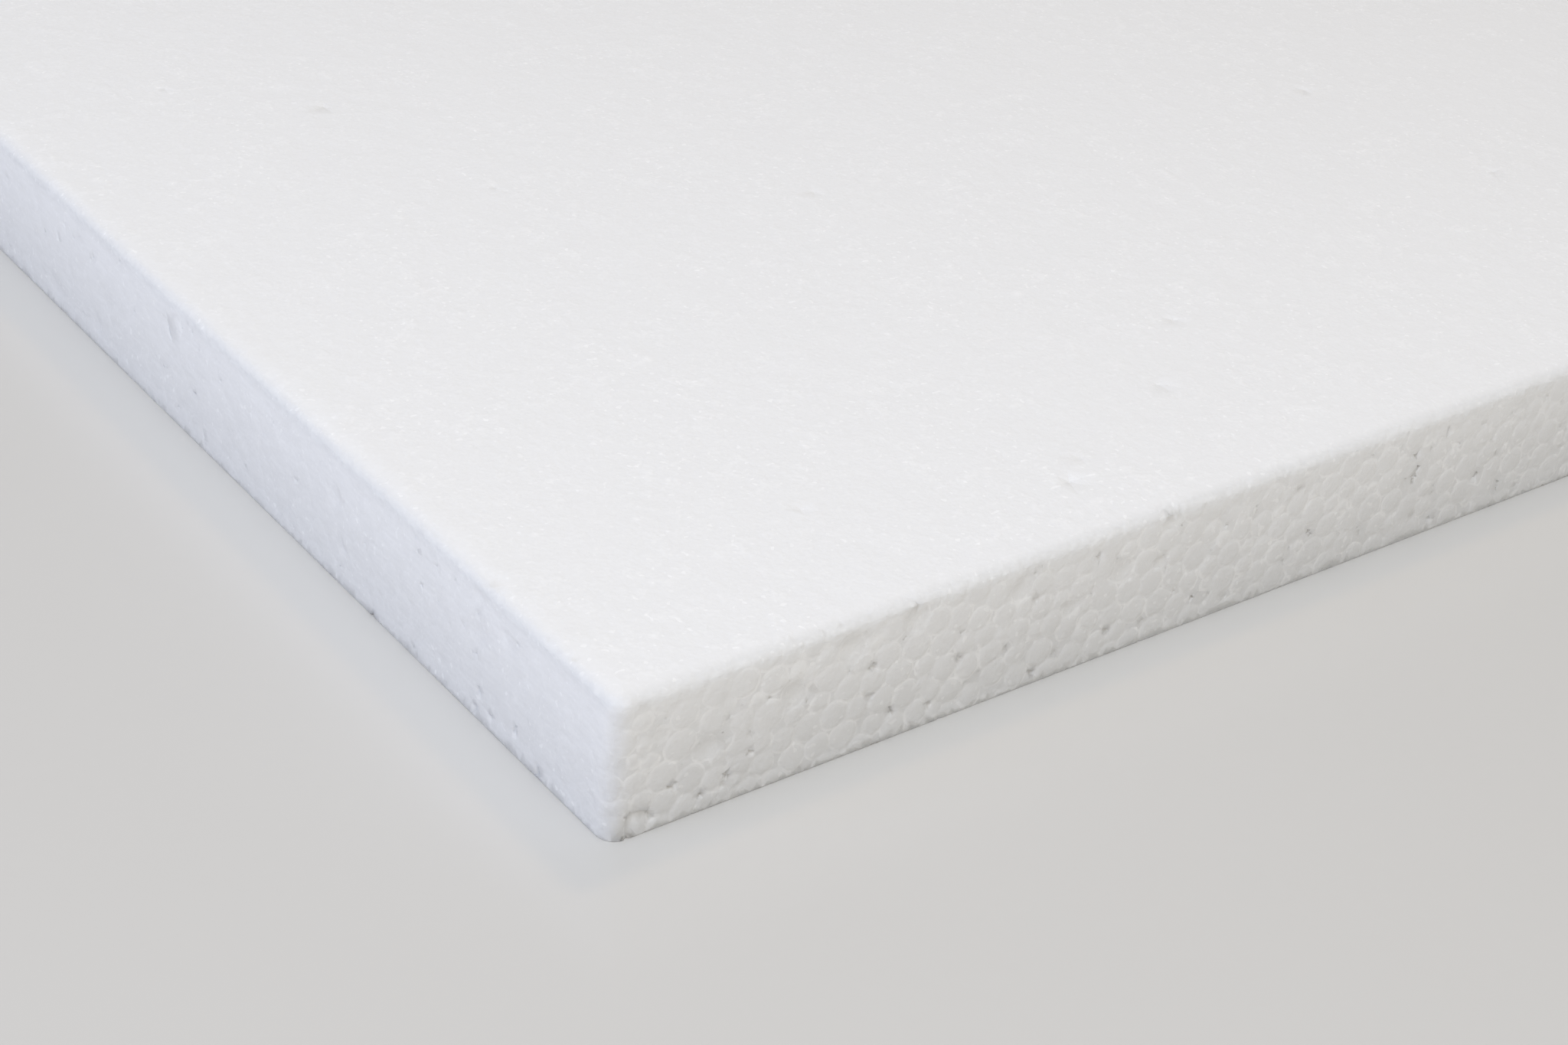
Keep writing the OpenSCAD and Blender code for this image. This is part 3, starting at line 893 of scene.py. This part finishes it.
class Graph:
    """Short calls that put together the nodes of one material."""

    def __init__(self, name):
        self.material = bpy.data.materials.new(name)
        self.material.use_nodes = True
        self.tree = self.material.node_tree
        self.shader = self.tree.nodes["Principled BSDF"]
        self.place = self.tree.nodes.new("ShaderNodeTexCoord").outputs["Object"]

    def put(self, value, socket):
        if isinstance(value, bpy.types.NodeSocket):
            self.tree.links.new(value, socket)
        else:
            socket.default_value = value

    def set(self, name, value):
        self.put(value, self.shader.inputs[name])

    def read(self, name):
        """A value that the mesh carries."""
        node = self.tree.nodes.new("ShaderNodeAttribute")
        node.attribute_name = name
        return node.outputs["Fac"]

    def math(self, operation, first, second=0.0):
        node = self.tree.nodes.new("ShaderNodeMath")
        node.operation = operation
        self.put(first, node.inputs[0])
        self.put(second, node.inputs[1])
        return node.outputs[0]

    def total(self, *parts):
        result = parts[0]
        for part in parts[1:]:
            result = self.math("ADD", result, part)
        return result

    def times(self, *parts):
        result = parts[0]
        for part in parts[1:]:
            result = self.math("MULTIPLY", result, part)
        return result

    def span(self, value, low, high, to_low=0.0, to_high=1.0):
        """Runs smoothly from to_low to to_high while the value goes from low to high."""
        node = self.tree.nodes.new("ShaderNodeMapRange")
        node.interpolation_type = "SMOOTHSTEP"
        for k, part in enumerate((value, low, high, to_low, to_high)):
            self.put(part, node.inputs[k])
        return node.outputs["Result"]

    def noise(self, size, detail=2.0, roughness=0.5, along=1.0):
        """Noise with lumps of this size, in millimetres, this many times longer than high, round 0."""
        node = self.tree.nodes.new("ShaderNodeTexNoise")
        node.inputs["Scale"].default_value = 1 / (size * MM)
        node.inputs["Detail"].default_value = detail
        node.inputs["Roughness"].default_value = roughness
        place = self.place
        if along != 1.0:
            stretch = self.tree.nodes.new("ShaderNodeVectorMath")
            stretch.operation = "MULTIPLY"
            self.put(place, stretch.inputs[0])
            stretch.inputs[1].default_value = (1 / along, 1 / along, 1)
            place = stretch.outputs["Vector"]
        self.put(place, node.inputs["Vector"])
        return self.math("SUBTRACT", node.outputs["Fac"], 0.5)

    def height_of(self):
        """How high each point of the board lies, in metres."""
        node = self.tree.nodes.new("ShaderNodeSeparateXYZ")
        self.put(self.place, node.inputs[0])
        return node.outputs["Z"]

    def tint(self, value, low, high):
        """A colour between two, by the value."""
        node = self.tree.nodes.new("ShaderNodeMix")
        node.data_type = "RGBA"
        self.put(value, node.inputs["Factor"])
        node.inputs["A"].default_value = (*low, 1)
        node.inputs["B"].default_value = (*high, 1)
        return node.outputs["Result"]

    def bump(self, height, depth):
        """Normal of a surface that rises by this many millimetres per unit of height."""
        node = self.tree.nodes.new("ShaderNodeBump")
        node.inputs["Distance"].default_value = depth * MM
        self.put(height, node.inputs["Height"])
        return node.outputs["Normal"]


def foam():
    """Expanded polystyrene: round beads with bright broken rims where cut, partly a painted highlight, and a
    fine flecked face elsewhere.
    """
    g = Graph("foam")
    cut, clear, hollow = g.read("cut"), g.read("clear"), g.read("hollow")
    shows = g.times(cut, clear)
    face = g.math("SUBTRACT", 1.0, cut)
    smeared = g.math("SUBTRACT", cut, shows)

    # Beads on a cut side
    lumps = g.noise(LUMP_SIZE, detail=1)
    small = g.noise(SMALL_SIZE, detail=0)
    wobble = g.times(small, WOBBLE)
    inside = g.total(g.math("MINIMUM", g.read("wall"), g.read("edge")), wobble)
    broken = g.span(lumps, -0.06, 0.12, 0.1, 1)
    # Rims: whiter dense bead skin, and partly a painted highlight where it catches light
    rim = g.times(g.span(inside, 0.3, 0.13), g.span(inside, -0.12, 0.0), broken, shows)
    # Painted shade between the round bead outlines
    between = g.times(g.span(g.total(g.read("edge"), wobble), 0.02, -0.14), shows)
    middle = g.times(g.span(inside, 0.3, 0.8), shows)
    streak = g.times(g.noise(STREAK_SIZE, detail=0, along=STREAK_STRETCH), smeared)
    # Painted light and shade by height on a cut side: lighter at the top, darker at the foot
    rise = g.times(g.span(g.height_of(), 0.0, THICKNESS * MM, *PAINTED_LIGHT_BY_HEIGHT), cut)
    # Painted shade at the foot of a cut side
    foot_shade = g.times(g.span(g.height_of(), 0.0, FOOT_SHADE_REACH * MM, PAINTED_FOOT_SHADE, 0.0), cut)

    # Flecks on the faces, and here and there on a cut side
    fine = g.noise(FINE_SIZE, detail=1)
    patch = g.span(g.noise(PATCH_SIZE, detail=0), -0.14, 0.14, 0.35, 1)
    fleck = g.times(g.span(g.total(lumps, g.times(fine, 0.6)), 0.0, 0.3), patch)
    # Glints get a painted highlight in their colour, besides a lower roughness
    glint = g.math("MAXIMUM", g.read("glint"), g.times(g.span(small, 0.22, 0.28), patch))

    light = g.total(
        FOAM_LEVEL,
        rise,
        foot_shade,
        g.times(g.read("bend"), PAINTED_BEND_SHADE),
        g.times(rim, RIM_SKIN_AND_HIGHLIGHT),
        g.times(middle, MIDDLE_LIGHT),
        g.times(between, PAINTED_BETWEEN_SHADE),
        g.times(hollow, PAINTED_HOLLOW_SHADE),
        g.times(g.read("tone"), shows, TONE_LIGHT),
        g.times(streak, STREAK_LIGHT),
        g.times(fine, FINE_LIGHT),
        g.times(fleck, g.span(face, 0.0, 1.0, 0.35, 1), FLECK_LIGHT),
        g.times(glint, GLINT_LIGHT),
    )
    g.set("Base Color", g.tint(light, (0, 0, 0), FOAM_TINT))
    g.set("Roughness", g.span(glint, 0.0, 1.0, *FOAM_ROUGHNESS))
    height = g.total(
        g.times(g.span(inside, 0.0, 0.6), shows, 0.55),
        lumps,
        g.times(fine, 0.5),
    )
    g.set("Normal", g.bump(height, BUMP_DEPTH))
    return g.material


def floor_paint():
    """Plain pale paint, with a trace of unevenness."""
    g = Graph("floor")
    shade = g.total(1.0, g.times(g.noise(60.0), 0.02), g.times(g.noise(2.5), 0.008))
    g.set("Base Color", g.tint(shade, (0, 0, 0), FLOOR_TINT))
    g.set("Roughness", FLOOR_ROUGHNESS)
    return g.material


# ---------------------------------------------------------------- stage

def add_stage():
    half = FLOOR_SIZE / 2
    corners = [(-half, -half, 0), (half, -half, 0), (half, half, 0), (-half, half, 0)]
    mesh = bpy.data.meshes.new("floor")
    mesh.from_pydata(corners, [], [(0, 1, 2, 3)])
    mesh.materials.append(floor_paint())
    floor = bpy.data.objects.new("floor", mesh)
    bpy.context.scene.collection.objects.link(floor)


def soft_lamp(name, way, distance, size, level, tint):
    """A square lamp that looks at the corner in view. Level is what it adds to white foam facing it."""
    data = bpy.data.lights.new(name, "AREA")
    data.shape = "SQUARE"
    data.size = size
    data.energy = level * (math.pi * distance) ** 2
    data.color = tint
    lamp = bpy.data.objects.new(name, data)
    way = Vector(way).normalized()
    turn = way.to_track_quat("Z", "Y").to_matrix().to_4x4()
    lamp.matrix_world = Matrix.Translation(NEAR_CORNER + way * distance) @ turn
    bpy.context.scene.collection.objects.link(lamp)


def add_light():
    world = bpy.data.worlds.new("studio")
    bpy.context.scene.world = world
    world.use_nodes = True
    sky = world.node_tree.nodes["Background"]
    sky.inputs["Color"].default_value = (*SKY_TINT, 1)
    sky.inputs["Strength"].default_value = SKY_LEVEL
    for lamp in LAMPS:
        soft_lamp(*lamp)
    bpy.context.scene.view_settings.view_transform = "Standard"


add_camera()
board = make_mesh("foam_board_visual", *build_board(), ATTRIBUTES)
board.data.materials.append(foam())
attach(board, "root")
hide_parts("foam_board")
add_stage()
add_light()
